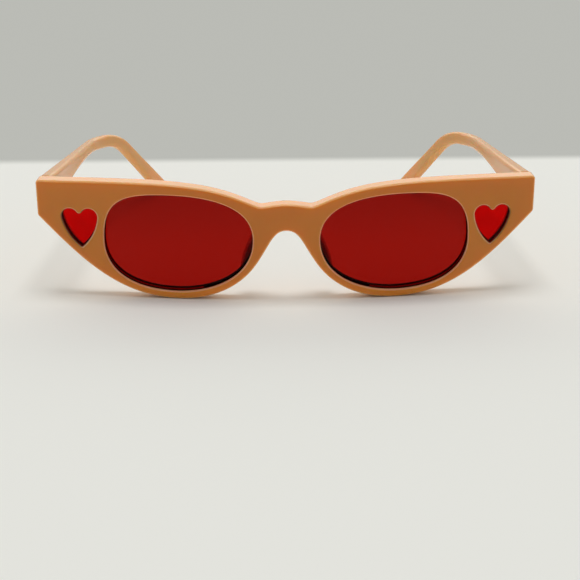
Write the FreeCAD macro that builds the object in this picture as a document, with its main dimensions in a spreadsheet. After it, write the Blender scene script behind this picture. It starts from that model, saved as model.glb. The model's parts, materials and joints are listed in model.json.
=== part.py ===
import FreeCAD, Part
import math
import os

# Cat-eye sunglasses with a red heart let into each end piece.
# X runs across the front, Y from the front back along the temples, Z up. Millimetres.
# The glasses stand open on the table, on the two rims and the two temple tips.
# The right side is the one at plus X, and the left side is its mirror image.

Vector = FreeCAD.Vector
Placement = FreeCAD.Placement
Rotation = FreeCAD.Rotation
ALONG_X = Vector(1, 0, 0)
ALONG_Y = Vector(0, 1, 0)
ALONG_Z = Vector(0, 0, 1)

# Driving dimensions: name, value, what it measures
SIZES = (
    ("lens_width", 43.4, "lens opening, across"),
    ("lens_height", 29.0, "lens opening, top to bottom"),
    ("bridge_width", 19.4, "between the lens openings"),
    ("rim_bottom", 2.3, "rim under the lens opening"),
    ("rim_top", 3.4, "rim over the lens opening, at the highest brow"),
    ("rim_side", 1.6, "between the lens opening and the heart window"),
    ("end_margin", 7.45, "outside the heart window"),
    ("tip_wall", 3.35, "under the tip of the heart window"),
    ("bridge_drop", 5.8, "highest brow down to the top of the bridge"),
    ("bridge_height", 7.9, "bridge, top to bottom"),
    ("dip_inset", 2.45, "dip of the bridge, in from the lens opening"),
    ("dip_depth", 0.8, "dip of the bridge, under its middle"),
    ("shoulder_inset", 5.8, "brow shoulder, in from the lens centre"),
    ("shoulder_drop", 1.15, "brow shoulder, under the highest brow"),
    ("peak_offset", 14.6, "highest brow, out from the lens centre"),
    ("corner_drop", 0.6, "upper corner, under the highest brow"),
    ("corner_radius", 1.0, "upper corner of the end piece"),
    ("lower_corner_radius", 1.3, "lower corner of the end piece"),
    ("nose_inset", 1.03, "nose flank, in from the lens opening"),
    ("nose_depth", 10.0, "nose flank, under the bridge"),
    ("front_thickness", 5.6, "front, face to back"),
    ("face_radius", 265.0, "wrap of the front face"),
    ("front_tilt", 2.7, "lean of the front, top forward, degrees"),
    ("front_edge_radius", 0.8, "rounded edges of the front"),
    ("rim_edge_radius", 0.55, "rounded front edge of the lens openings and heart windows"),
    ("lens_thickness", 1.8, "lens"),
    ("lens_setback", 1.9, "lens behind the front face"),
    ("lens_engagement", 0.5, "lens edge inside its groove"),
    ("lens_clearance", 0.05, "room around the lens in its groove"),
    ("heart_width", 10.65, "heart window, across"),
    ("heart_height", 11.6, "heart window, top to tip"),
    ("heart_drop", 8.4, "highest brow down to the top of the heart"),
    ("heart_lean", 2.0, "lean of the heart, tip towards the nose, degrees"),
    ("lobe_radius", 2.5, "lobes of the heart"),
    ("notch_radius", 0.9, "notch between the lobes"),
    ("heart_side_radius", 14.5, "bowed sides of the heart"),
    ("heart_tip_radius", 0.35, "tip of the heart"),
    ("inlay_setback", 0.6, "heart inlay behind the front face"),
    ("inlay_engagement", 0.3, "edge of the heart inlay inside its groove"),
    ("inlay_thickness", 1.5, "heart inlay"),
    ("inlay_clearance", 0.05, "room around the heart inlay"),
    ("pad_length", 19.0, "nose pad, along the nose"),
    ("pad_width", 3.6, "nose pad, across"),
    ("pad_height", 4.6, "nose pad, out from the rim"),
    ("pad_angle", 24.0, "nose pad, lean from upright, degrees"),
    ("pad_splay", 26.0, "nose pad, opening out towards the back, degrees"),
    ("pad_below", 6.7, "nose pad centre, under the nose arch"),
    ("pad_inset", 0.6, "nose pad centre, in from the lens opening"),
    ("temple_thickness", 4.0, "temple at the hinge"),
    ("temple_tip_thickness", 3.2, "temple behind the bend"),
    ("temple_inset", 0.2, "temple, in from the edge of the front"),
    ("temple_step", 0.1, "temple top, under the back edge of the front"),
    ("temple_root_height", 10.4, "temple at the hinge, top to bottom"),
    ("temple_waist_height", 4.4, "slim stretch of the temple, top to bottom"),
    ("temple_tip_height", 5.2, "temple tip, top to bottom"),
    ("temple_taper", 72.0, "hinge to the end of the taper"),
    ("temple_reach", 92.0, "hinge to the drop behind the ear"),
    ("lean_reach", 77.0, "hinge to where the temple leans in"),
    ("drop_radius", 20.0, "bend of the drop"),
    ("lean_radius", 38.0, "bend of the lean"),
    ("drop_angle", 39.0, "drop of the temple tip, degrees"),
    ("lean_angle", 24.4, "inward lean of the temple tip, degrees"),
    ("temple_toe_in", 1.4, "temples closing towards the back, degrees"),
    ("temple_fall", 3.3, "temples falling towards the back, degrees"),
    ("temple_edge_radius", 1.2, "rounded edges of the temple"),
    ("butt_gap", 0.15, "between the front and the end of the temple"),
    ("core_radius", 0.6, "wire inside the temple"),
    ("core_clearance", 0.02, "room around the wire"),
    ("core_recess", 1.2, "wire, in from the end of the temple"),
    ("core_tail", 16.0, "wire behind the drop"),
    ("hinge_drop", 4.6, "upper corner down to the middle of the hinge"),
    ("hinge_setback", 3.0, "hinge axis behind the front"),
    ("hinge_height", 5.4, "three knuckles together"),
    ("knuckle_radius", 1.45, "hinge knuckles"),
    ("knuckle_gap", 0.05, "between two knuckles"),
    ("knuckle_clearance", 0.25, "between knuckles and temple"),
    ("neck_width", 1.8, "arm of a front knuckle"),
    ("pin_radius", 0.65, "hinge screw"),
    ("pin_fit", 0.02, "hinge screw in the front knuckles"),
    ("pin_play", 0.05, "hinge screw in the temple knuckle"),
    ("pin_head_radius", 1.1, "head of the hinge screw"),
    ("pin_head_height", 0.6, "head of the hinge screw"),
    ("leaf_thickness", 0.9, "hinge plates"),
    ("leaf_height", 4.0, "hinge plates, top to bottom"),
    ("front_leaf_length", 7.5, "hinge plate on the front"),
    ("temple_leaf_length", 8.5, "hinge plate on the temple"),
    ("leaf_seat", 0.35, "depth that the hinge plates are let in"),
    ("leaf_clearance", 0.05, "room around the hinge plates"),
    ("leaf_corner_radius", 0.6, "corners of the hinge plates"),
    ("screw_radius", 0.5, "plate screws"),
    ("screw_length", 2.1, "plate screws, with the head"),
    ("screw_head_radius", 0.95, "head of the plate screws"),
    ("screw_head_height", 0.4, "head of the plate screws"),
    ("screw_fit", 0.02, "room around the plate screws"),
    ("screw_edge", 1.5, "first plate screw from the end of its plate"),
    ("screw_pitch", 2.8, "between the two screws of a plate"),
    ("screw_slot", 0.3, "driver slots"),
)

doc = FreeCAD.newDocument("heart_window_sunglasses")
sheet = doc.addObject("Spreadsheet::Sheet", "sizes")
for row, (alias, value, meaning) in enumerate(SIZES, start=1):
    sheet.set(f"A{row}", meaning)
    sheet.set(f"B{row}", str(value))
    sheet.setAlias(f"B{row}", alias)
doc.recompute()


def size(alias):
    return float(sheet.get(alias))


def heading(degrees):
    angle = math.radians(degrees)
    return Vector(math.cos(angle), math.sin(angle), 0)


def flat(x, y):
    return Vector(x, y, 0)


def curve(start, start_angle, start_pull, end, end_angle, end_pull):
    """Poles of a smooth curve; each pull is a share of the straight line between its ends."""
    span = start.distanceToPoint(end)
    leaving = start + heading(start_angle) * (start_pull * span)
    arriving = end - heading(end_angle) * (end_pull * span)
    return [start, leaving, arriving, end]


def on_circle(centre, radius, degrees):
    return centre + heading(degrees) * radius


def as_geometry(points, side=1):
    """Two points make a line, three an arc through them, and four a smooth curve."""
    placed = [flat(side * point.x, point.y) for point in points]
    if len(placed) == 2:
        return Part.LineSegment(*placed)
    if len(placed) == 3:
        return Part.Arc(*placed)
    bezier = Part.BezierCurve()
    bezier.setPoles(placed)
    return bezier.toBSpline()


# Features of the document
def prism(name, plane, geometry, frame, length):
    """A body whose sketch lies in one origin plane, padded by half the length to each side."""
    body = doc.addObject("PartDesign::Body", name)
    sketch = body.newObject("Sketcher::SketchObject", name + "_sketch")
    planes = body.Origin.OriginFeatures
    sketch.AttachmentSupport = [(next(p for p in planes if p.Role == plane), "")]
    sketch.MapMode = "FlatFace"
    for piece in geometry:
        sketch.addGeometry(piece, False)
    pad = body.newObject("PartDesign::Pad", name + "_pad")
    pad.Profile = sketch
    pad.SideType = "Symmetric"
    if isinstance(length, str):
        pad.setExpression("Length", length)
    else:
        pad.Length = length
    body.Placement = frame
    return body


def primitive(kind, name, frame, **expressions):
    made = doc.addObject("Part::" + kind, name)
    for key, text in expressions.items():
        made.setExpression(key, text)
    made.Placement = frame
    return made


def box(name, frame, low, high):
    """A box between two corners, given in the frame."""
    made = doc.addObject("Part::Box", name)
    made.Length = high.x - low.x
    made.Width = high.y - low.y
    made.Height = high.z - low.z
    made.Placement = frame.multiply(Placement(low, Rotation()))
    return made


def cut(name, base, tool):
    made = doc.addObject("Part::Cut", name)
    made.Base = base
    made.Tool = tool
    return made


def common(name, base, tool):
    made = doc.addObject("Part::Common", name)
    made.Base = base
    made.Tool = tool
    return made


def fuse(name, shapes):
    made = doc.addObject("Part::MultiFuse", name)
    made.Shapes = shapes
    return made


def mirror(name, source):
    made = doc.addObject("Part::Mirroring", name)
    made.Source = source
    made.Base = Vector(0, 0, 0)
    made.Normal = ALONG_X
    return made


def group(name, links):
    made = doc.addObject("Part::Compound", name)
    made.Links = links
    return made


def face_normal(face, point):
    u, v = face.Surface.parameter(point)
    return face.normalAt(u, v)


def sharp_edges(shape, wanted):
    """Numbers of the edges where two faces meet at a corner and the middle point is wanted."""
    corner = math.cos(math.radians(20))
    found = []
    for number, edge in enumerate(shape.Edges, start=1):
        faces = shape.ancestorsOfType(edge, Part.Face)
        if len(faces) != 2:
            continue
        middle = edge.valueAt((edge.FirstParameter + edge.LastParameter) / 2)
        if face_normal(faces[0], middle).dot(face_normal(faces[1], middle)) > corner:
            continue
        if wanted(middle):
            found.append(number)
    return found


def rounded(name, base, radius, wanted):
    doc.recompute()
    made = doc.addObject("Part::Fillet", name)
    made.Base = base
    made.Edges = [(number, radius, radius) for number in sharp_edges(base.Shape, wanted)]
    return made


# Lay-out of the front, in its own plane: x across, w up from the bottom of the rims
front_frame_tilt = Placement(Vector(), Rotation(ALONG_X, size("front_tilt")))
face_radius = size("face_radius")
back_radius = face_radius - size("front_thickness")
lens_x = (size("bridge_width") + size("lens_width")) / 2
lens_w = size("rim_bottom") + size("lens_height") / 2
lens_inner_x = size("bridge_width") / 2
lens_outer_x = lens_inner_x + size("lens_width")
brow_w = size("rim_bottom") + size("lens_height") + size("rim_top")
bridge_w = brow_w - size("bridge_drop")
nose_w = bridge_w - size("bridge_height")
corner_w = brow_w - size("corner_drop")
heart_x = lens_outer_x + size("rim_side") + size("heart_width") / 2
heart_top_w = brow_w - size("heart_drop")
heart_tip_w = heart_top_w - size("heart_height")
end_x = heart_x + size("heart_width") / 2 + size("end_margin")
REACH = 80.0


def face_depth(x):
    """How far the wrapped front face lies behind its middle."""
    return face_radius - math.sqrt(face_radius ** 2 - x ** 2)


def back_depth(x):
    return face_radius - math.sqrt(back_radius ** 2 - x ** 2)


def wrap_cylinder(name, radius):
    """Solid cylinder about the axis that the front wraps around."""
    low = Vector(0, face_radius, -REACH)
    made = primitive("Cylinder", name, front_frame_tilt.multiply(Placement(low, Rotation())))
    made.setExpression("Radius", radius)
    made.Height = 2 * REACH
    return made


def wrapped_sheet(name, front, back):
    """The wrapped layer between two depths behind the face, both written as expressions."""
    return cut(
        name,
        wrap_cylinder(name + "_front", f"sizes.face_radius - ({front})"),
        wrap_cylinder(name + "_back", f"sizes.face_radius - ({back})"),
    )


def front_outline(side):
    """Half of the cat-eye outline, from the middle of the bridge round to the nose arch."""
    brow_fall = -2.0
    sweep_angle = -134.7
    low_angle = sweep_angle + 90
    end_slope = math.tan(math.radians(43.6))
    bridge_middle = flat(0, bridge_w)
    dip = flat(lens_inner_x - size("dip_inset"), bridge_w - size("dip_depth"))
    shoulder = flat(lens_x - size("shoulder_inset"), brow_w - size("shoulder_drop"))
    peak = flat(lens_x + size("peak_offset"), brow_w)
    upper_radius = size("corner_radius")
    upper_lead = upper_radius * (1 + math.sin(math.radians(brow_fall)))
    upper_start = flat(end_x - upper_lead, corner_w)
    upper_centre = upper_start - heading(brow_fall + 90) * upper_radius
    lower_radius = size("lower_corner_radius")
    lower_x = end_x - lower_radius + lower_radius * math.cos(math.radians(low_angle))
    lower_end = flat(lower_x, heart_tip_w - size("tip_wall") + (lower_x - heart_x) * end_slope)
    lower_centre = lower_end - heading(low_angle) * lower_radius
    rim_low = flat(lens_x, 0)
    flank = flat(lens_inner_x - size("nose_inset"), nose_w - size("nose_depth"))
    nose_middle = flat(0, nose_w)
    upper_corner = [on_circle(upper_centre, upper_radius, angle) for angle in (brow_fall + 90, 45, 0)]
    lower_corner = [on_circle(lower_centre, lower_radius, angle) for angle in (0, low_angle / 2, low_angle)]
    pieces = (
        curve(bridge_middle, 0, 0.36, dip, 0, 0.12),
        curve(dip, 0, 0.10, shoulder, 7.5, 0.55),
        curve(shoulder, 7.5, 0.37, peak, 0, 0.36),
        curve(peak, 0, 0.36, upper_start, brow_fall, 0.36),
        upper_corner,
        [upper_corner[2], lower_corner[0]],
        lower_corner,
        curve(lower_end, sweep_angle, 0.38, rim_low, 180, 0.38),
        curve(rim_low, 180, 0.38, flank, 124, 0.35),
        curve(flank, 124, 0.55, nose_middle, 180, 0.29),
    )
    return [as_geometry(piece, side) for piece in pieces]


def lens_outline(grow):
    """Lens opening about its own centre, made larger all round by grow."""
    half_width = size("lens_width") / 2 + grow
    half_height = size("lens_height") / 2 + grow
    inner = flat(-half_width, 1.5)
    top = flat(3.2, half_height)
    outer = flat(half_width, 0.2)
    bottom = flat(0.4, -half_height)
    pieces = (
        curve(inner, 90, 0.39, top, 0, 0.37),
        curve(top, 0, 0.50, outer, -90, 0.55),
        curve(outer, -90, 0.44, bottom, 180, 0.40),
        curve(bottom, 180, 0.40, inner, 90, 0.40),
    )
    return [as_geometry(piece) for piece in pieces]


def circle_meeting(first, first_radius, second, second_radius):
    """The left one of the two points at the given distances from two centres."""
    apart = second - first
    distance = apart.Length
    along = (first_radius ** 2 - second_radius ** 2 + distance ** 2) / (2 * distance)
    across = math.sqrt(first_radius ** 2 - along ** 2)
    towards = apart * (1 / distance)
    aside = flat(-towards.y, towards.x)
    meetings = [first + towards * along + aside * (sign * across) for sign in (1, -1)]
    return min(meetings, key=lambda point: point.x)


def heart_outline(grow):
    """Heart with its top middle at the origin of its frame, made larger all round by grow."""
    lobe_radius = size("lobe_radius")
    side_radius = size("heart_side_radius")
    tip_radius = size("heart_tip_radius")
    lobe = flat(size("heart_width") / 2 - lobe_radius, -lobe_radius)
    tip = flat(0, tip_radius - size("heart_height"))
    bow = circle_meeting(lobe, side_radius - lobe_radius, tip, side_radius - tip_radius)
    notch_reach = lobe_radius + size("notch_radius")
    notch = flat(0, lobe.y + math.sqrt(notch_reach ** 2 - lobe.x ** 2))
    to_lobe = math.degrees(math.atan2(lobe.y - bow.y, lobe.x - bow.x))
    to_notch = math.degrees(math.atan2(notch.y - lobe.y, notch.x - lobe.x))
    to_tip = math.degrees(math.atan2(tip.y - bow.y, tip.x - bow.x))
    tip_side = on_circle(bow, side_radius + grow, to_tip)
    joint = on_circle(bow, side_radius + grow, to_lobe)
    shoulder = on_circle(lobe, lobe_radius + grow, to_notch)
    notch_angles = (to_notch - 180, (to_notch - 180 - 90) / 2, -90)
    tip_angles = (-90, (to_tip - 90) / 2)
    pieces = (
        [on_circle(tip, tip_radius + grow, angle) for angle in tip_angles] + [tip_side],
        [tip_side, on_circle(bow, side_radius + grow, (to_tip + to_lobe) / 2), joint],
        [joint, on_circle(lobe, lobe_radius + grow, (to_lobe + to_notch) / 2), shoulder],
        [on_circle(notch, size("notch_radius") - grow, angle) for angle in notch_angles],
    )
    return [as_geometry(piece, side) for side in (1, -1) for piece in pieces]


# Front: the outline through the wrapped sheet, with rounded edges
outline = front_outline(1) + front_outline(-1)
front_blank = common(
    "front_blank",
    prism("front_prism", "XZ_Plane", outline, front_frame_tilt, REACH),
    wrapped_sheet("front_sheet", "0", "sizes.front_thickness"),
)


def depth_in_front(point):
    """How far a point lies behind the wrapped front face."""
    local = front_frame_tilt.inverse().multVec(point)
    return face_radius - math.hypot(local.x, face_radius - local.y)


def on_the_face(point):
    return abs(depth_in_front(point)) < 0.01


def on_face_or_back(point):
    return on_the_face(point) or abs(depth_in_front(point) - size("front_thickness")) < 0.01


CORNER_SHARE = 0.9
rim_roll = min(size("front_edge_radius"), CORNER_SHARE * size("corner_radius"))
front_rounded = rounded("front_rounded", front_blank, rim_roll, on_face_or_back)


# Openings through the front, each with a pane that snaps into a groove in its wall
def window(pane_name, outline, frame, kind):
    """The hole, the groove and the pane; kind is the word that the pane's sizes start with."""
    setback, thickness, engagement, clearance = (
        f"{kind}_{word}" for word in ("setback", "thickness", "engagement", "clearance")
    )
    hole = prism(kind + "_hole", "XZ_Plane", outline(0), frame, REACH)
    pane_edge = size(engagement)
    groove = common(
        kind + "_groove",
        prism(kind + "_groove_prism", "XZ_Plane", outline(pane_edge + size(clearance)), frame, REACH),
        wrapped_sheet(
            kind + "_groove_sheet",
            f"sizes.{setback} - sizes.{clearance}",
            f"sizes.{setback} + sizes.{thickness} + sizes.{clearance}",
        ),
    )
    pane = common(
        pane_name,
        prism(kind + "_prism", "XZ_Plane", outline(pane_edge), frame, REACH),
        wrapped_sheet(kind + "_sheet", f"sizes.{setback}", f"sizes.{setback} + sizes.{thickness}"),
    )
    return hole, groove, pane


lens_frame = front_frame_tilt.multiply(Placement(Vector(lens_x, 0, lens_w), Rotation()))
lens_hole, lens_groove, lens_right = window("lens_right", lens_outline, lens_frame, "lens")

half_heart = size("heart_height") / 2
heart_middle = Placement(Vector(heart_x, 0, heart_top_w - half_heart), Rotation(ALONG_Y, size("heart_lean")))
heart_top = Placement(Vector(0, 0, half_heart), Rotation())
heart_frame = front_frame_tilt.multiply(heart_middle).multiply(heart_top)
heart_hole, heart_groove, heart_inlay_right = window("heart_inlay_right", heart_outline, heart_frame, "inlay")

# Nose pads, seated on the back of the rims and opening out towards the face
pad_x = lens_inner_x - size("pad_inset")
pad_frame = Placement(
    Vector(pad_x, back_depth(pad_x), nose_w - size("pad_below")),
    Rotation(ALONG_Y, -size("pad_angle")).multiply(Rotation(ALONG_Z, -size("pad_splay"))),
)
pad_blank = primitive(
    "Ellipsoid",
    "pad_blank",
    front_frame_tilt.multiply(pad_frame),
    Radius1="sizes.pad_length / 2",
    Radius2="sizes.pad_width / 2",
    Radius3="sizes.pad_height",
)
nose_pad_right = common(
    "nose_pad_right",
    pad_blank,
    wrap_cylinder("pad_seat", "sizes.face_radius - sizes.front_thickness"),
)

# Hinge: an axis in the plane of the front, behind the end piece and inside the temple
temple_outer_x = end_x - size("temple_inset")
inner_face = size("knuckle_radius") + size("knuckle_clearance")
axis_x = temple_outer_x - size("temple_thickness") - inner_face
axis_depth = back_depth(axis_x) + size("hinge_setback")
hinge_w = corner_w - size("hinge_drop")
hinge_spot = Placement(Vector(axis_x, axis_depth, hinge_w), Rotation())
hinge_frame = front_frame_tilt.multiply(hinge_spot)
knuckle = size("hinge_height") / 3


def knuckle_barrel(name, low, high, radius):
    """Cylinder on the hinge axis between two heights over the middle of the hinge."""
    made = primitive(
        "Cylinder", name, hinge_frame.multiply(Placement(Vector(0, 0, low), Rotation())), Radius=radius
    )
    made.Height = high - low
    return made


def plate_outline(low_x, high_x, half_height):
    """Plate with rounded corners, in its own plane."""
    radius = min(size("leaf_corner_radius"), half_height / 2)
    corners = []
    for cx, cy, start in (
        (high_x - radius, half_height - radius, 0),
        (low_x + radius, half_height - radius, 90),
        (low_x + radius, radius - half_height, 180),
        (high_x - radius, radius - half_height, 270),
    ):
        centre = flat(cx, cy)
        corners.append([on_circle(centre, radius, start + step) for step in (0, 45, 90)])
    sides = [[corners[i][2], corners[(i + 1) % 4][0]] for i in range(4)]
    return [as_geometry(piece) for piece in corners + sides]


# Front leaf: a plate let into the back of the end piece, with two knuckles on necks
seat_x = axis_x - size("front_leaf_length") / 2
seat_turn = Rotation(ALONG_Z, math.degrees(math.asin(seat_x / back_radius)))
seat_spot = Placement(Vector(seat_x, back_depth(seat_x), hinge_w), seat_turn)
seat_frame = front_frame_tilt.multiply(seat_spot)
axis_in_seat = seat_spot.inverse().multVec(hinge_spot.Base)
plate_high = axis_in_seat.x + size("neck_width") / 2
plate_low = plate_high - size("front_leaf_length")
plate_floor = -size("leaf_seat")
plate_top = plate_floor + size("leaf_thickness")
plate_middle = Placement(Vector(0, (plate_floor + plate_top) / 2, 0), Rotation())
front_plate = prism(
    "front_plate",
    "XZ_Plane",
    plate_outline(plate_low, plate_high, size("leaf_height") / 2),
    seat_frame.multiply(plate_middle),
    "sizes.leaf_thickness",
)
room = size("leaf_clearance")
front_seat = box(
    "front_seat",
    seat_frame,
    Vector(plate_low - room, plate_floor, -size("leaf_height") / 2 - room),
    Vector(plate_high + room, plate_floor + size("front_thickness"), size("leaf_height") / 2 + room),
)
knuckle_low = knuckle / 2 + size("knuckle_gap")
knuckle_high = size("hinge_height") / 2


def front_knuckle(name, low, high):
    """A barrel on the hinge axis, and the neck that carries it on the plate."""
    half_height = size("leaf_height") / 2
    neck = box(
        name + "_neck",
        seat_frame,
        Vector(axis_in_seat.x - size("neck_width") / 2, plate_floor, max(low, -half_height)),
        Vector(plate_high, axis_in_seat.y, min(high, half_height)),
    )
    return [neck, knuckle_barrel(name, low, high, "sizes.knuckle_radius")]


upper_knuckle = front_knuckle("upper_knuckle", knuckle_low, knuckle_high)
lower_knuckle = front_knuckle("lower_knuckle", -knuckle_high, -knuckle_low)
front_leaf_blank = fuse("front_leaf_blank", [front_plate] + upper_knuckle + lower_knuckle)
front_bore = knuckle_barrel("front_bore", -REACH / 4, REACH / 4, "sizes.pin_radius + sizes.pin_fit")

# Plate screws: a slotted head let into the plate, and a shank into the plastic


def screw_solids(name, frame, room_around):
    """Head and shank along the frame's Z, from the top of a plate down into the plastic."""
    head = primitive(
        "Cylinder", name + "_head", frame, Radius=f"sizes.screw_head_radius + {room_around}",
    )
    head.setExpression("Height", "sizes.screw_head_height")
    shank = primitive(
        "Cylinder", name + "_shank", frame, Radius=f"sizes.screw_radius + {room_around}",
    )
    shank.setExpression("Height", f"sizes.screw_length + {room_around}")
    return [head, shank]


def screw_hole(name, frame):
    return fuse(name, screw_solids(name, frame, "sizes.screw_fit"))


def screw(name, frame):
    slot_half = size("screw_slot") / 2
    slot = box(
        name + "_slot",
        frame,
        Vector(-slot_half, -2 * size("screw_head_radius"), -slot_half),
        Vector(slot_half, 2 * size("screw_head_radius"), slot_half),
    )
    return cut(name, fuse(name + "_blank", screw_solids(name, frame, "0")), slot)


def plate_screw_frames(frame, first, top):
    """Frames on top of a plate, Z into the plastic, for the two screws in a row."""
    spots = (first, first + size("screw_pitch"))
    dive = Rotation(ALONG_X, 90)
    return [frame.multiply(Placement(Vector(spot, top, 0), dive)) for spot in spots]


front_screw_frames = plate_screw_frames(seat_frame, plate_low + size("screw_edge"), plate_top)
front_screw_holes = [
    screw_hole(f"front_screw_hole_{number}", frame) for number, frame in enumerate(front_screw_frames)
]
front_screws = [screw(f"front_screw_{number}", frame) for number, frame in enumerate(front_screw_frames)]
front_leaf_screws_right = group("front_leaf_screws_right", front_screws)
front_leaf_holes = fuse("front_leaf_holes", [front_bore] + front_screw_holes)
hinge_front_leaf_right = cut("hinge_front_leaf_right", front_leaf_blank, front_leaf_holes)

# Hinge screw: the pin through the three knuckles, with a slotted head on top
pin_shank = knuckle_barrel("pin_shank", -knuckle_high, knuckle_high, "sizes.pin_radius")
pin_top = knuckle_high + size("pin_head_height")
pin_head = knuckle_barrel("pin_head", knuckle_high, pin_top, "sizes.pin_head_radius")
pin_slot = box(
    "pin_slot",
    hinge_frame,
    Vector(-2 * size("pin_head_radius"), -size("screw_slot") / 2, pin_top - size("screw_slot")),
    Vector(2 * size("pin_head_radius"), size("screw_slot") / 2, pin_top + size("screw_slot")),
)
hinge_screw_right = cut("hinge_screw_right", fuse("pin_blank", [pin_shank, pin_head]), pin_slot)

# Front: all the openings, cut on both sides
front_cuts_right = fuse(
    "front_cuts_right",
    [lens_hole, lens_groove, heart_hole, heart_groove, front_seat] + front_screw_holes,
)
front_cuts = fuse("front_cuts", [front_cuts_right, mirror("front_cuts_left", front_cuts_right)])
front_cut = cut("front_cut", front_rounded, front_cuts)
front_frame = rounded("front_frame", front_cut, size("rim_edge_radius"), on_the_face)

# Temple: its side view and its top view, one cut through the other.
# The temple frame stands on the hinge axis, with Y along the temple.
temple_turn = Rotation(ALONG_X, -size("temple_fall")).multiply(Rotation(ALONG_Z, size("temple_toe_in")))
temple_frame = Placement(hinge_frame.Base, temple_turn)
outer_face = inner_face + size("temple_thickness")
back_corner = front_frame_tilt.multVec(Vector(temple_outer_x, back_depth(temple_outer_x), corner_w))
temple_top = temple_frame.inverse().multVec(back_corner).z - size("temple_step")
rim_low = front_frame_tilt.multVec(Vector(lens_x, face_depth(lens_x) + rim_roll, rim_roll))
table = rim_low.z - rim_roll - temple_frame.Base.z
LEAD = 12.0
half_waist = size("temple_waist_height") / 2
half_tip = size("temple_tip_height") / 2
drop = size("drop_angle")
bend_start = flat(size("temple_reach"), temple_top - half_waist)
bend_centre = bend_start - flat(0, size("drop_radius"))
bend_end = on_circle(bend_centre, size("drop_radius"), 90 - drop)
fall = math.radians(size("temple_fall"))
bend_over_table = bend_end.y * math.cos(fall) - bend_end.x * math.sin(fall) - table
tip_run = (bend_over_table - half_tip) / math.sin(math.radians(drop) + fall)
tip_centre = bend_end + heading(-drop) * tip_run


def temple_side_view():
    """Outline in Y and Z: straight top, tapering underside, bend, and rounded tip."""
    root_angle = 8.5
    upper = size("drop_radius") + half_waist
    lower = size("drop_radius") - half_waist
    root = flat(0, temple_top - size("temple_root_height"))
    front_low = root - heading(root_angle) * LEAD
    front_high = flat(front_low.x, temple_top)
    taper_end = flat(size("temple_taper"), temple_top - size("temple_waist_height"))
    pieces = (
        [front_low, front_high],
        [front_high, on_circle(bend_centre, upper, 90)],
        [on_circle(bend_centre, upper, angle) for angle in (90, 90 - drop / 2, 90 - drop)],
        curve(
            on_circle(bend_centre, upper, 90 - drop), -drop, 0.33,
            on_circle(tip_centre, half_tip, 90 - drop), -drop, 0.33,
        ),
        [on_circle(tip_centre, half_tip, angle - drop) for angle in (90, 0, -90)],
        curve(
            on_circle(tip_centre, half_tip, -90 - drop), 180 - drop, 0.33,
            on_circle(bend_centre, lower, 90 - drop), 180 - drop, 0.33,
        ),
        [on_circle(bend_centre, lower, angle) for angle in (90 - drop, 90 - drop / 2, 90)],
        [on_circle(bend_centre, lower, 90), taper_end],
        curve(taper_end, 180, 0.36, root, 180 + root_angle, 0.36),
        [root, front_low],
    )
    return [as_geometry(piece) for piece in pieces]


def temple_top_view():
    """Outline in X and Y: a straight outer face, then a bend, and the tip leaning in."""
    lean = size("lean_angle")
    slim = size("temple_tip_thickness")
    outer = size("lean_radius") + slim / 2
    inner = size("lean_radius") - slim / 2
    lean_centre = flat(outer_face - outer, size("lean_reach"))
    past_tip = (tip_centre.x + LEAD - size("lean_reach")) / math.cos(math.radians(lean))
    lean_run = heading(90 + lean) * past_tip
    outer_end = on_circle(lean_centre, outer, lean) + lean_run
    inner_end = on_circle(lean_centre, inner, lean) + lean_run
    leaf_end = inner_face + size("temple_leaf_length") + 2 * size("leaf_corner_radius")
    slim_inner = flat(outer_face - slim, size("lean_reach"))
    pieces = (
        [flat(inner_face, -LEAD), flat(outer_face, -LEAD)],
        [flat(outer_face, -LEAD), flat(outer_face, size("lean_reach"))],
        [on_circle(lean_centre, outer, angle) for angle in (0, lean / 2, lean)],
        [on_circle(lean_centre, outer, lean), outer_end],
        [outer_end, inner_end],
        [inner_end, on_circle(lean_centre, inner, lean)],
        [on_circle(lean_centre, inner, angle) for angle in (lean, lean / 2, 0)],
        curve(slim_inner, -90, 0.33, flat(inner_face, leaf_end), -90, 0.33),
        [flat(inner_face, leaf_end), flat(inner_face, -LEAD)],
    )
    return [as_geometry(piece) for piece in pieces]


temple_blank = common(
    "temple_blank",
    prism("temple_side", "YZ_Plane", temple_side_view(), temple_frame, 2 * REACH),
    prism("temple_plan", "XY_Plane", temple_top_view(), temple_frame, 2 * REACH),
)


def behind_the_lead(point):
    return temple_frame.inverse().multVec(point).y > -LEAD / 2


temple_rounded = rounded("temple_rounded", temple_blank, size("temple_edge_radius"), behind_the_lead)

# The temple ends on the back of the front, with a small gap
butt_block = box(
    "butt_block",
    temple_frame,
    Vector(-REACH / 4, -2 * LEAD, -REACH / 2),
    Vector(REACH / 4, LEAD / 2, REACH / 2),
)
butt = cut(
    "butt",
    butt_block,
    wrap_cylinder("butt_face", "sizes.face_radius - sizes.front_thickness - sizes.butt_gap"),
)

# Temple leaf: a plate let into the inner face, with the middle knuckle
leaf_floor = inner_face + size("leaf_seat")
leaf_top = leaf_floor - size("leaf_thickness")
leaf_start = size("knuckle_radius") + size("knuckle_clearance")
leaf_finish = leaf_start + size("temple_leaf_length")
leaf_middle = Placement(Vector((leaf_floor + leaf_top) / 2, 0, 0), Rotation())
temple_plate = prism(
    "temple_plate",
    "YZ_Plane",
    plate_outline(leaf_start, leaf_finish, size("leaf_height") / 2),
    temple_frame.multiply(leaf_middle),
    "sizes.leaf_thickness",
)
tongue_half = knuckle / 2 - size("knuckle_clearance")
temple_tongue = box(
    "temple_tongue",
    temple_frame,
    Vector(leaf_top, 0, -tongue_half),
    Vector(leaf_floor, leaf_start + size("leaf_corner_radius"), tongue_half),
)
middle_half = knuckle / 2 - size("knuckle_gap")
middle_barrel = knuckle_barrel("middle_barrel", -middle_half, middle_half, "sizes.knuckle_radius")
temple_leaf_blank = fuse("temple_leaf_blank", [temple_plate, temple_tongue, middle_barrel])
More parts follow.
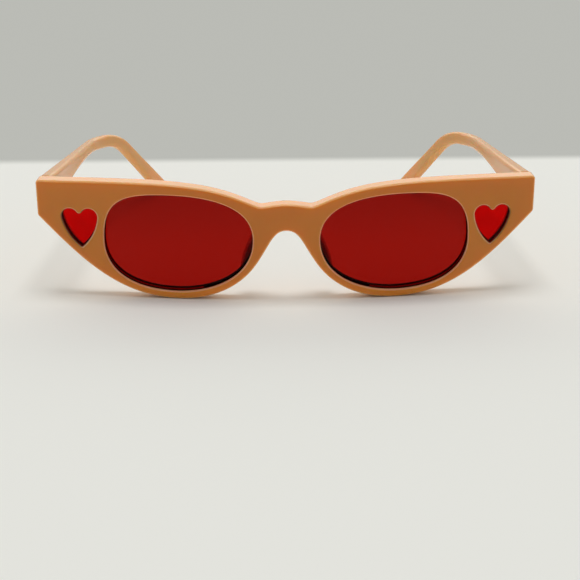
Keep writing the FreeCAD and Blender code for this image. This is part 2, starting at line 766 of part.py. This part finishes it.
temple_bore = knuckle_barrel("temple_bore", -REACH / 4, REACH / 4, "sizes.pin_radius + sizes.pin_play")
along_temple = temple_frame.multiply(Placement(Vector(), Rotation(ALONG_Z, 90)))
last_screw = leaf_finish - size("screw_edge")
temple_screw_frames = plate_screw_frames(along_temple, last_screw - size("screw_pitch"), -leaf_top)
temple_screw_holes = [
    screw_hole(f"temple_screw_hole_{number}", frame) for number, frame in enumerate(temple_screw_frames)
]
temple_screws = [screw(f"temple_screw_{number}", frame) for number, frame in enumerate(temple_screw_frames)]
temple_leaf_screws_right = group("temple_leaf_screws_right", temple_screws)
temple_leaf_holes = fuse("temple_leaf_holes", [temple_bore] + temple_screw_holes)
hinge_temple_leaf_right = cut("hinge_temple_leaf_right", temple_leaf_blank, temple_leaf_holes)
temple_seat = fuse(
    "temple_seat",
    [
        box(
            "plate_seat",
            temple_frame,
            Vector(leaf_top, leaf_start - room, -size("leaf_height") / 2 - room),
            Vector(leaf_floor, leaf_finish + room, size("leaf_height") / 2 + room),
        ),
        box(
            "tongue_seat",
            temple_frame,
            Vector(leaf_top, -room, -tongue_half - room),
            Vector(leaf_floor, leaf_start + size("leaf_corner_radius"), tongue_half + room),
        ),
    ],
)

# Core wire: straight runs joined by arcs, along the middle of the temple
core_x = outer_face - size("temple_tip_thickness") / 2
core_z = temple_top - half_waist
lean_slope = math.tan(math.radians(size("lean_angle")))
lean_corner = size("lean_reach") + size("lean_radius") * math.tan(math.radians(size("lean_angle") / 2))
drop_corner = size("temple_reach") + size("drop_radius") * math.tan(math.radians(drop / 2))
core_end = bend_end.x + size("core_tail") * math.cos(math.radians(drop))


def core_point(y):
    """Point on the middle line of the temple, with its bends taken as corners."""
    x = core_x - max(0, y - lean_corner) * lean_slope
    z = core_z - max(0, y - drop_corner) * math.tan(math.radians(drop))
    return Vector(x, y, z)


def core_path(start_y):
    corners = [core_point(y) for y in (start_y, *sorted((lean_corner, drop_corner)), core_end)]
    bend_reach = 0.45 * corners[1].distanceToPoint(corners[2])
    edges = []
    here = corners[0]
    for before, corner, after in zip(corners, corners[1:], corners[2:]):
        arriving = (corner - before).normalize()
        leaving = (after - corner).normalize()
        start = corner - arriving * bend_reach
        end = corner + leaving * bend_reach
        half_turn = arriving.getAngle(leaving) / 2
        radius = bend_reach / math.tan(half_turn)
        inward = (leaving - arriving).normalize()
        middle = corner + inward * (radius / math.cos(half_turn) - radius)
        edges.append(Part.LineSegment(here, start).toShape())
        edges.append(Part.Arc(start, middle, end).toShape())
        here = end
    edges.append(Part.LineSegment(here, corners[-1]).toShape())
    return Part.Wire(edges)


def core_sweep(name, start_y, radius):
    path = doc.addObject("Part::Feature", name + "_path")
    path.Shape = core_path(start_y)
    path.Placement = temple_frame
    ring_spot = Placement(core_point(start_y), Rotation(ALONG_X, -90))
    ring = primitive("Circle", name + "_ring", temple_frame.multiply(ring_spot), Radius=radius)
    made = doc.addObject("Part::Sweep", name)
    made.Sections = [ring]
    made.Spine = (path, [f"Edge{number}" for number in range(1, len(path.Shape.Edges) + 1)])
    made.Solid = True
    made.Frenet = False
    return made


butt_in_temple = temple_frame.inverse().multVec(back_corner).y
core_start = butt_in_temple + size("core_recess")
temple_core_right = core_sweep("temple_core_right", core_start, "sizes.core_radius")
core_hole = core_sweep("core_hole", -LEAD, "sizes.core_radius + sizes.core_clearance")
temple_cuts = fuse("temple_cuts", [butt, temple_seat, core_hole] + temple_screw_holes)
temple_right = cut("temple_right", temple_rounded, temple_cuts)

# Sub-parts, and the origin under the middle of the whole
right_nodes = (
    lens_right,
    heart_inlay_right,
    nose_pad_right,
    temple_right,
    temple_core_right,
    hinge_front_leaf_right,
    hinge_temple_leaf_right,
    hinge_screw_right,
    front_leaf_screws_right,
    temple_leaf_screws_right,
)
doc.recompute()
whole = Part.makeCompound([node.Shape for node in (front_frame,) + right_nodes])
extent = whole.optimalBoundingBox(False)
to_origin = Placement(Vector(0, -(extent.YMin + extent.YMax) / 2, -extent.ZMin), Rotation())
for node in (front_frame,) + right_nodes:
    node.Placement = to_origin.multiply(node.Placement)
left_nodes = tuple(mirror(node.Name.replace("_right", "_left"), node) for node in right_nodes)
nodes = (front_frame,) + right_nodes + left_nodes
for node in nodes:
    node.Label = node.Name
doc.recompute()

for feature in doc.Objects:
    if "Invalid" in feature.State or "Error" in feature.State:
        raise RuntimeError(f"{feature.Name} failed: {feature.State}")
for node in nodes:
    if node.Shape.isNull() or not node.Shape.isValid() or not node.Shape.Solids:
        raise RuntimeError(f"{node.Label} has no valid solid")

os.makedirs("parts", exist_ok=True)
for node in nodes:
    node.Shape.exportStep(f"parts/{node.Label}.step")
    print(f"{node.Label}: {len(node.Shape.Solids)} solid(s), {node.Shape.Volume:.1f} mm3")
hinge_centre = to_origin.multVec(hinge_frame.Base)
hinge_axis = front_frame_tilt.Rotation.multVec(ALONG_Z)
box_now = Part.makeCompound([node.Shape for node in nodes]).optimalBoundingBox(False)
print(f"box {box_now.XLength:.2f} x {box_now.YLength:.2f} x {box_now.ZLength:.2f}")
side_spot = Vector(outer_face, size("temple_leaf_length") * 3, temple_top - size("temple_waist_height"))
tip_spot = core_point(tip_centre.x)
tip_heading = Vector(-lean_slope, 1, -math.tan(math.radians(drop))).normalize()
spots = {
    "hinge at": hinge_centre,
    "hinge axis": hinge_axis,
    "temple side at": to_origin.multiply(temple_frame).multVec(side_spot),
    "temple side faces": temple_frame.Rotation.multVec(ALONG_X),
    "temple tip at": to_origin.multiply(temple_frame).multVec(tip_spot),
    "temple tip faces": temple_frame.Rotation.multVec(tip_heading),
    "nose arch at": to_origin.multVec(front_frame_tilt.multVec(Vector(0, 0, nose_w))),
    "moved by": to_origin.Base,
}
for words, spot in spots.items():
    print(f"{words} {spot.x:.4f} {spot.y:.4f} {spot.z:.4f}")
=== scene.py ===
# %% [markdown]
# # Cat-eye sunglasses with heart windows
# The pair is moulded in glossy peach plastic, with dark red lenses and a small red heart let into each
# end piece. Every piece was already built to size as a solid, so this lesson is about looks: it loads the
# solids, sets up a small photo table, and then gives each piece the finish of the real one.

# %% Load the solids
import json
import math

import bmesh
import bpy
from mathutils import Matrix, Vector


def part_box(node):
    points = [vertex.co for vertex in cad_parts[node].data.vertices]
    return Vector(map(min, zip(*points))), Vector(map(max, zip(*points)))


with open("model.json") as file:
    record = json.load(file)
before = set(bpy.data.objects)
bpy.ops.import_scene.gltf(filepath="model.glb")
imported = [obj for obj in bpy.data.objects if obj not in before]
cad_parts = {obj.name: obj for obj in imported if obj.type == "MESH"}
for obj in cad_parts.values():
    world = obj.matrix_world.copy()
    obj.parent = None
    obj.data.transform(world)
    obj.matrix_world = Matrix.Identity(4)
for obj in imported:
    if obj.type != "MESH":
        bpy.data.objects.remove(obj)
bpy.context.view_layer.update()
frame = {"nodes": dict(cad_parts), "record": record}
nodes = frame["nodes"]


# %% [markdown]
# ## The camera
# The picture was taken from in front and a little above, with a lens that is a bit longer than normal.
# A camera can be pointed with a constraint, but a fixed pitch, heading and roll are easier to compare with
# the photograph. The three turns are multiplied in the order in which a tripod head makes them. An
# unturned camera looks straight down, so a quarter turn makes it level.

# %% Place the camera
SENSOR_WIDTH = 36.0
FOCAL_LENGTH = 77.6
NEAREST_SEEN = 0.01
CAMERA_PLACE = Vector((-0.0031, -0.4190, 0.1128))
LEVEL = math.pi / 2
PITCH_DOWN = math.radians(17.52)
HEADING = math.radians(0.66)
ROLL = math.radians(-0.37)

camera_data = bpy.data.cameras.new("photo_camera")
camera_data.sensor_width = SENSOR_WIDTH
camera_data.lens = FOCAL_LENGTH
camera_data.clip_start = NEAREST_SEEN
camera = bpy.data.objects.new("photo_camera", camera_data)
turn = (
    Matrix.Rotation(-HEADING, 4, "Z")
    @ Matrix.Rotation(LEVEL - PITCH_DOWN, 4, "X")
    @ Matrix.Rotation(ROLL, 4, "Z")
)
camera.matrix_world = Matrix.Translation(CAMERA_PLACE) @ turn
bpy.context.scene.collection.objects.link(camera)
bpy.context.scene.camera = camera
bpy.context.scene.view_settings.view_transform = "Standard"
print("camera looks down by", round(math.degrees(PITCH_DOWN), 1), "degrees")

# %% [markdown]
# ## Formulas for shaders
# A finish is easier to read as a formula than as a web of nodes. This class stands for a value on its way
# through a node tree. Plus, minus and times add Math nodes, and every other node comes from one method.
# A Mix node holds sockets for numbers, vectors and colours at once, so those for colours go by number.

# %% A value in a node tree
FIRST_COLOUR = 6
SECOND_COLOUR = 7
MIXED_COLOUR = 2


class Signal:
    """The output of a node, or the start of a tree when it has no socket."""

    def __init__(self, tree, socket=None):
        self.tree = tree
        self.socket = socket

    def node(self, kind, settings=None, inputs=None, output=0):
        """Add a node, set it up, fill its sockets and give back one of its outputs."""
        made = self.tree.nodes.new("ShaderNode" + kind)
        for name, value in (settings or {}).items():
            setattr(made, name, value)
        for name, value in (inputs or {}).items():
            if isinstance(value, Signal):
                self.tree.links.new(value.socket, made.inputs[name])
            else:
                made.inputs[name].default_value = value
        return Signal(self.tree, made.outputs[output] if made.outputs else None)

    def math(self, operation, *values):
        """A Math node on one or two values."""
        return self.node("Math", {"operation": operation}, dict(enumerate(values)))

    def __add__(self, other):
        return self.math("ADD", self, other)

    def __radd__(self, other):
        return self.math("ADD", other, self)

    def __sub__(self, other):
        return self.math("SUBTRACT", self, other)

    def __rsub__(self, other):
        return self.math("SUBTRACT", other, self)

    def __neg__(self):
        return self.math("SUBTRACT", 0.0, self)

    def __mul__(self, other):
        return self.math("MULTIPLY", self, other)

    def __rmul__(self, other):
        return self.math("MULTIPLY", other, self)

    def coordinates(self, kind):
        """Where a point of the surface is, or which way the surface faces there."""
        return self.node("TexCoord", None, None, kind)

    def axis(self, name):
        """The X, Y or Z part of a vector."""
        return self.node("SeparateXYZ", None, {"Vector": self}, name)

    def ramp(self, low, high):
        """From 0 at low to 1 at high, with soft ends."""
        settings = {"interpolation_type": "SMOOTHSTEP"}
        return self.node("MapRange", settings, {"Value": self, "From Min": low, "From Max": high})

    def mix(self, first, second):
        """A colour between two, with this value as the share of the second."""
        colours = {"Factor": self, FIRST_COLOUR: first, SECOND_COLOUR: second}
        return self.node("Mix", {"data_type": "RGBA"}, colours, MIXED_COLOUR)

    def noise(self, place, size, detail):
        """Soft blotches of about the given size, in metres."""
        return self.node("TexNoise", None, {"Vector": place, "Scale": 1 / size, "Detail": detail})


print("values in a node tree can now be added, multiplied, ramped and mixed")

# %% [markdown]
# ## Opening and closing a material
# A new material brings a ready shader with it. Every finish here is built from nothing, so its tree is
# cleared first and gets its output node last. The finishes are kept by the slot names of the record, which
# is how the pieces find them in the end.

# %% Helpers for materials
finishes = {}


def rgb(red, green, blue):
    return (red, green, blue, 1.0)


def new_material(name):
    """An empty material, and the start of its node tree."""
    material = bpy.data.materials.new(name)
    material.use_nodes = True
    material.node_tree.nodes.clear()
    return material, Signal(material.node_tree)


def close_material(start, shader):
    start.node("OutputMaterial", None, {"Surface": shader})


def mixed_shader(start, share, first, second):
    """Two shaders in one, with a share of the second that may change over the surface."""
    return start.node("MixShader", None, {0: share, 1: first, 2: second})


def keep_finish(slot, material):
    finishes[slot] = material
    print(slot, "is made from", len(material.node_tree.nodes), "nodes")


print("materials start from an empty tree")

# %% [markdown]
# ## The photo table
# The glasses stand on a white sheet that ends behind them, with a grey ground further back. Two planes
# could meet there, but one large sheet is enough for both, because its colour can change across a soft
# line.

# %% Make the table
TABLE_HALF = 9.0

table_mesh = bpy.data.meshes.new("photo_table")
build = bmesh.new()
bmesh.ops.create_grid(build, x_segments=1, y_segments=1, size=TABLE_HALF)
build.to_mesh(table_mesh)
build.free()
table = bpy.data.objects.new("photo_table", table_mesh)
bpy.context.scene.collection.objects.link(table)
print("table of", 2 * TABLE_HALF, "m, at the height of the rims and the temple tips")

# %% [markdown]
# ## White sheet and grey ground
# The near sheet is plain and dull, so that it keeps the shadow of the glasses. The far ground glows
# evenly, so that its grey doesn't depend on how far the lamps reach.

# %% Colour the table
SHEET_EDGE = 0.132
EDGE_SOFTNESS = 0.0075
SHEET_WHITE = rgb(0.88, 0.885, 0.845)
GROUND_GREY = rgb(0.495, 0.500, 0.465)

table_material, start = new_material("photo_table")
backward = start.coordinates("Object").axis("Y")
far = backward.ramp(SHEET_EDGE - EDGE_SOFTNESS, SHEET_EDGE + EDGE_SOFTNESS)
sheet = start.node("BsdfDiffuse", None, {"Color": SHEET_WHITE})
ground = start.node("Emission", None, {"Color": GROUND_GREY})
close_material(start, mixed_shader(start, far, sheet, ground))
table_mesh.materials.append(table_material)
print("white up to", 1000 * SHEET_EDGE, "mm behind the middle, grey further back")

# %% [markdown]
# ## Soft studio light
# The photograph has a broad light above and behind the glasses: the tops are pale, and the faces are in a
# warm half shade. Two area lamps do this. One hangs under the ceiling and draws the narrow shadow under
# the rims. The other is wide, a little warmer, and stands low behind.

# %% Hang the lamps
LIT_POINT = Vector((0.0, -0.03, 0.02))
CEILING_BOX = {
    "place": Vector((0.0, 0.1, 3.0)),
    "width": 1.6,
    "height": 1.2,
    "power": 34.0,
    "colour": (1.0, 1.0, 1.0),
}
REAR_BOX = {
    "place": Vector((0.0, 2.4, 1.25)),
    "width": 4.5,
    "height": 1.6,
    "power": 22.0,
    "colour": (1.0, 0.96, 0.88),
}


def softbox(name, place, width, height, power, colour):
    """A rectangular lamp at a place, turned to face the glasses."""
    data = bpy.data.lights.new(name, "AREA")
    data.shape = "RECTANGLE"
    data.size = width
    data.size_y = height
    data.energy = power
    data.color = colour
    lamp = bpy.data.objects.new(name, data)
    lamp.location = place
    lamp.rotation_mode = "QUATERNION"
    lamp.rotation_quaternion = (LIT_POINT - place).to_track_quat("-Z", "Y")
    bpy.context.scene.collection.objects.link(lamp)
    print(name, "with", power, "W")


softbox("ceiling_box", **CEILING_BOX)
softbox("rear_box", **REAR_BOX)

# %% [markdown]
# ## The room around the table
# What surrounds the table shows as reflections in the lenses and fills the shadows. A world of one even
# grey would wash the lenses out, so this one is brighter on the sides and behind than in front, where the
# camera stands.

# %% Light the room
FRONT_LIGHT = rgb(0.18, 0.18, 0.18)
REAR_LIGHT = rgb(0.50, 0.50, 0.49)
DARK_FRONT = -0.95
BRIGHT_SIDE = -0.15

world = bpy.data.worlds.new("studio")
bpy.context.scene.world = world
world.use_nodes = True
world.node_tree.nodes.clear()
sky = Signal(world.node_tree)
rearward = sky.coordinates("Generated").axis("Y").ramp(DARK_FRONT, BRIGHT_SIDE)
glow = sky.node("Background", None, {"Color": rearward.mix(FRONT_LIGHT, REAR_LIGHT)})
sky.node("OutputWorld", None, {"Surface": glow})
print("the world is dark in front, from", FRONT_LIGHT[0], "to", REAR_LIGHT[0])

# %% [markdown]
# ## The walls of the openings
# The front edge of each opening gets a thin pale line, which is a painted highlight, and the wall behind it
# is painted nearly black as shade where the pane sits in its groove. The walls could be picked out by hand
# as faces, but a formula
# needs no picking and gives soft limits. It turns each place into the front's own frame, asks how deep it
# lies behind the wrapped face, and whether the surface there faces the middle of an opening. The painted
# shade on the outer walls of the heart windows starts earlier, from their rounded edge on.

# %% Find the walls of the openings
FRONT_ORIGIN = (0.0, -0.0711, -0.0001)
FRONT_TILT = math.radians(2.7)
WRAP_RADIUS = 0.265
HEARTS_FROM = 0.0540
LENS_MIDDLE = (0.0314, 0.0168)
HEART_MIDDLE = (0.0600, 0.0205)
LENS_SHADE = (0.0008, 0.0054)
HEART_SHADE = (0.0006, 0.0041)
LENS_SOFTNESS = 0.0002
HEART_SOFTNESS = 0.0006
HEART_EARLY = 0.0004
NOSE_TURN = (0.0, -0.5)


def opening_walls(start, place, normal):
    """Two masks for the walls of the openings: their front edge, for a painted highlight, and the part
    where the panes sit, for painted shade.
    """
    turned = {"Vector": place, "Location": FRONT_ORIGIN, "Rotation": (FRONT_TILT, 0.0, 0.0)}
    local = start.node("Mapping", {"vector_type": "TEXTURE"}, turned)
    across = local.axis("X")
    side = start.math("SIGN", across)
    out = across * side
    to_axis = WRAP_RADIUS - local.axis("Y")
    depth = WRAP_RADIUS - start.math("SQRT", across * across + to_axis * to_axis)
    hearts = start.math("GREATER_THAN", out, HEARTS_FROM)

    def either(lens, heart):
        """The value for the lens openings, or the one for the heart windows further out."""
        return lens + (heart - lens) * hearts

    nose_turn = normal.axis("X") * side
    aside = (out - either(LENS_MIDDLE[0], HEART_MIDDLE[0])) * nose_turn
    above = (local.axis("Z") - either(LENS_MIDDLE[1], HEART_MIDDLE[1])) * normal.axis("Z")
    inward = start.math("LESS_THAN", aside + above, 0.0)
    early = HEART_EARLY * nose_turn.ramp(*NOSE_TURN)
    shallow = either(LENS_SHADE[0], HEART_SHADE[0] - early)
    deep = either(LENS_SHADE[1], HEART_SHADE[1])
    softness = either(LENS_SOFTNESS, HEART_SOFTNESS)
    entered = (depth - shallow).ramp(-softness, softness)
    not_passed = (depth - deep).ramp(softness, -softness)
    # The first mask takes a painted highlight, the second painted shade.
    return inward * (1.0 - entered), inward * entered * not_passed


print("lens walls are dark from", 1000 * LENS_SHADE[0], "to", 1000 * LENS_SHADE[1], "mm behind the face")

# %% [markdown]
# ## Peach plastic
# The front, the nose pads and the temples are one moulded plastic, glossy, with light that scatters a
# little way inside it. Its flat face has a deeper tone than its edges and arms, which is painted shade, and
# the rims near the table have a stronger, brighter one, which is a painted glow of light from the table.
# Which way the surface faces tells the face from the edges. Uneven pigment, uneven gloss and a fine ripple
# keep the plastic from looking like flat paint. The lips of the openings get a painted highlight. The
# groove walls get a dull, nearly black shader of their own as painted shade, because a glossy one would
# mirror the red panes.

# %% Mix the plastic
PEACH = rgb(0.85, 0.41, 0.145)
# Painted shade: the face tones, which vary at random between these two.
FACE_SHADE = rgb(0.71, 0.246, 0.034)
FACE_SHADE_DEEP = rgb(0.67, 0.226, 0.030)
# A painted glow on the rims close to the table.
LOW_RIM_GLOW = rgb(0.92, 0.30, 0.040)
# A painted highlight on the lips of the openings.
LIP_HIGHLIGHT = rgb(1.0, 0.43, 0.24)
# Painted shade on the groove walls.
GROOVE_SHADE = rgb(0.020, 0.005, 0.003)
LOW_RIM = (0.009, 0.001)
FACE_TURN = (-0.75, -0.97)
CLOUD_SIZE = 0.022
CLOUD_SPREAD = (0.35, 0.68)
RIPPLE_SIZE = 0.0011
RIPPLE = {"Strength": 0.06, "Distance": 0.00006}
PLASTIC_ROUGHNESS = 0.12
PLASTIC_UNEVENNESS = 0.08


def pigment_and_painted_light(start, cloud, lip_highlight):
    """The peach of edges and arms, painted shade on the face in tones that vary at random, a painted glow
    on the low rims and a painted highlight on the lips of the openings.
    """
    # Painted glow on the rims, growing over the lowest 9 mm towards the table.
    low = start.coordinates("Object").axis("Z").ramp(*LOW_RIM)
    face = low.mix(cloud.ramp(*CLOUD_SPREAD).mix(FACE_SHADE_DEEP, FACE_SHADE), LOW_RIM_GLOW)
    # Painted shade where the surface faces forward.
    shaded_face = start.coordinates("Normal").axis("Y").ramp(*FACE_TURN)
    # A painted highlight on the lips, where they are not part of the face.
    return (lip_highlight * (1.0 - shaded_face)).mix(shaded_face.mix(PEACH, face), LIP_HIGHLIGHT)


def peach_plastic():
    material, start = new_material("peach_plastic")
    place = start.coordinates("Object")
    # The lip mask is for a painted highlight, the groove mask for painted shade.
    lip_highlight, groove_shade = opening_walls(start, place, start.coordinates("Normal"))
    cloud = start.noise(place, CLOUD_SIZE, detail=3.0)
    ripple = start.noise(place, RIPPLE_SIZE, detail=2.0)
    gloss = {
        "Base Color": pigment_and_painted_light(start, cloud, lip_highlight),
        "Roughness": PLASTIC_ROUGHNESS + PLASTIC_UNEVENNESS * cloud,
        "IOR": 1.46,
        "Specular IOR Level": 0.35,
        "Subsurface Weight": 0.6,
        "Subsurface Radius": (1.0, 0.40, 0.15),
        "Subsurface Scale": 0.005,
        "Normal": start.node("Bump", None, {**RIPPLE, "Height": ripple}),
    }
    plastic = start.node("BsdfPrincipled", None, gloss)
    # A dull shader for the painted shade in the grooves.
    groove_shade_shader = start.node("BsdfDiffuse", None, {"Color": GROOVE_SHADE})
    close_material(start, mixed_shader(start, groove_shade, plastic, groove_shade_shader))
    return material


keep_finish("frame_plastic", peach_plastic())

# %% [markdown]
# ## Clear panes with a dye
# The lenses and the hearts are clear plastic with a red dye in it. A coloured transmission does what the
# dye does: what lies behind shows through in red, and the surface keeps a clear reflection. The rim of a
# pane sits in the dark of its groove, so it is painted nearly black, as shade. The rim is found by how far
# the surface faces forward or back.

# %% A shader for both panes
PANE_RIM_SHADE = rgb(0.004, 0.0005, 0.0005)
RIM_TURN = (0.7, 0.4)


def tinted_pane(start, pane_colour, roughness, bending, reflection):
    """A clear shader in the colour of the pane, with its rim painted nearly black as shade."""
    # Painted shade on the rim of the pane, where it sits in its groove.
    rim = start.math("ABSOLUTE", start.coordinates("Normal").axis("Y")).ramp(*RIM_TURN)
    glass = {
        "Base Color": rim.mix(pane_colour, PANE_RIM_SHADE),
        "Roughness": roughness,
        "IOR": bending,
        "Specular Tint": rgb(reflection, reflection, reflection),
        "Transmission Weight": 1.0,
    }
    return start.node("BsdfPrincipled", None, glass)


print("a pane counts as rim where it faces forward or back by less than", RIM_TURN[1])

# %% [markdown]
# ## Dark red lenses
# The lenses are a little darker towards their top, which is painted shade. A second, darker red that comes
# in above the middle gives that. Faint waves in the gloss stand for the flow of the moulding.

# %% Mix the lens tint
LENS_RED = rgb(0.330, 0.0054, 0.0024)
# Painted shade: a darker red for the top of the lenses.
LENS_RED_TOP_SHADE = rgb(0.272, 0.0050, 0.0024)
TOP_SHADE_FROM = 0.4
WAVE_SIZE = 0.006
LENS_ROUGHNESS = 0.015
LENS_UNEVENNESS = 0.02


def lens_tint():
    material, start = new_material("lens_tint")
    place = start.coordinates("Object")
    low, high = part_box("lens_right")
    # Painted shade that grows towards the top of the lens.
    top_shade = place.axis("Z").ramp(low.z + TOP_SHADE_FROM * (high.z - low.z), high.z)
    wave = start.noise(place, WAVE_SIZE, detail=1.0)
    roughness = LENS_ROUGHNESS + LENS_UNEVENNESS * wave
    pane_colour = top_shade.mix(LENS_RED, LENS_RED_TOP_SHADE)
    close_material(start, tinted_pane(start, pane_colour, roughness, bending=1.5, reflection=0.10))
    return material


keep_finish("lens_tint", lens_tint())

# %% [markdown]
# ## Bright red hearts
# The hearts are a purer and brighter red than the lenses. Their dye has soft clouds about as large as a
# lobe of the heart, and the same clouds make the gloss uneven.

# %% Mix the heart acrylic
HEART_RED = rgb(0.560, 0.0, 0.0)
HEART_RED_DEEP = rgb(0.500, 0.0, 0.0)
DYE_CLOUD_SIZE = 0.004
DYE_CLOUD_SPREAD = (0.3, 0.7)
HEART_ROUGHNESS = 0.02
HEART_UNEVENNESS = 0.03


def heart_acrylic():
    material, start = new_material("heart_acrylic")
    cloud = start.noise(start.coordinates("Object"), DYE_CLOUD_SIZE, detail=2.0)
    roughness = HEART_ROUGHNESS + HEART_UNEVENNESS * cloud
    pane_colour = cloud.ramp(*DYE_CLOUD_SPREAD).mix(HEART_RED_DEEP, HEART_RED)
    close_material(start, tinted_pane(start, pane_colour, roughness, bending=1.49, reflection=0.05))
    return material


keep_finish("heart_acrylic", heart_acrylic())

# %% [markdown]
# ## Hinge metal and core wire
# The hinges are small stamped and turned steel parts with a satin shine. Noise that is squeezed along one
# axis turns into fine streaks, which give the look of brushed metal. The wire inside each temple is drawn,
# so its streaks run along it.

# %% Mix the metals
STEEL_PALE = rgb(0.62, 0.60, 0.57)
STEEL_DEEP = rgb(0.50, 0.48, 0.46)
WIRE_PALE = rgb(0.55, 0.55, 0.56)
WIRE_DEEP = rgb(0.44, 0.44, 0.45)
LEVEL_STREAKS = (1, 1, 8)
LONG_STREAKS = (8, 1, 8)
STREAK_SIZE = 0.0004
STREAK_SPREAD = (0.3, 0.7)
STREAK_RELIEF = {"Strength": 0.15, "Distance": 0.00002}
SATIN_ROUGHNESS = 0.24
SATIN_UNEVENNESS = 0.16


def brushed_steel(name, pale, deep, squeeze):
    material, start = new_material(name)
    squeezed = start.node("Mapping", None, {"Vector": start.coordinates("Object"), "Scale": squeeze})
    streak = start.noise(squeezed, STREAK_SIZE, detail=2.0)
    satin = {
        "Base Color": streak.ramp(*STREAK_SPREAD).mix(deep, pale),
        "Roughness": SATIN_ROUGHNESS + SATIN_UNEVENNESS * streak,
        "Metallic": 1.0,
        "Normal": start.node("Bump", None, {**STREAK_RELIEF, "Height": streak}),
    }
    close_material(start, start.node("BsdfPrincipled", None, satin))
    return material


keep_finish("hinge_steel", brushed_steel("hinge_steel", STEEL_PALE, STEEL_DEEP, LEVEL_STREAKS))
keep_finish("core_wire", brushed_steel("core_wire", WIRE_PALE, WIRE_DEEP, LONG_STREAKS))

# %% [markdown]
# ## Dress the pieces
# The record says which finish every solid has, so one loop can hand out the materials. The solids keep
# their own meshes: only what is in their material slots changes.

# %% Hand out the finishes
for part in frame["record"]["subparts"]:
    solid = nodes[part["node"]]
    solid.data.materials.clear()
    solid.data.materials.append(finishes[part["material_slot"]])
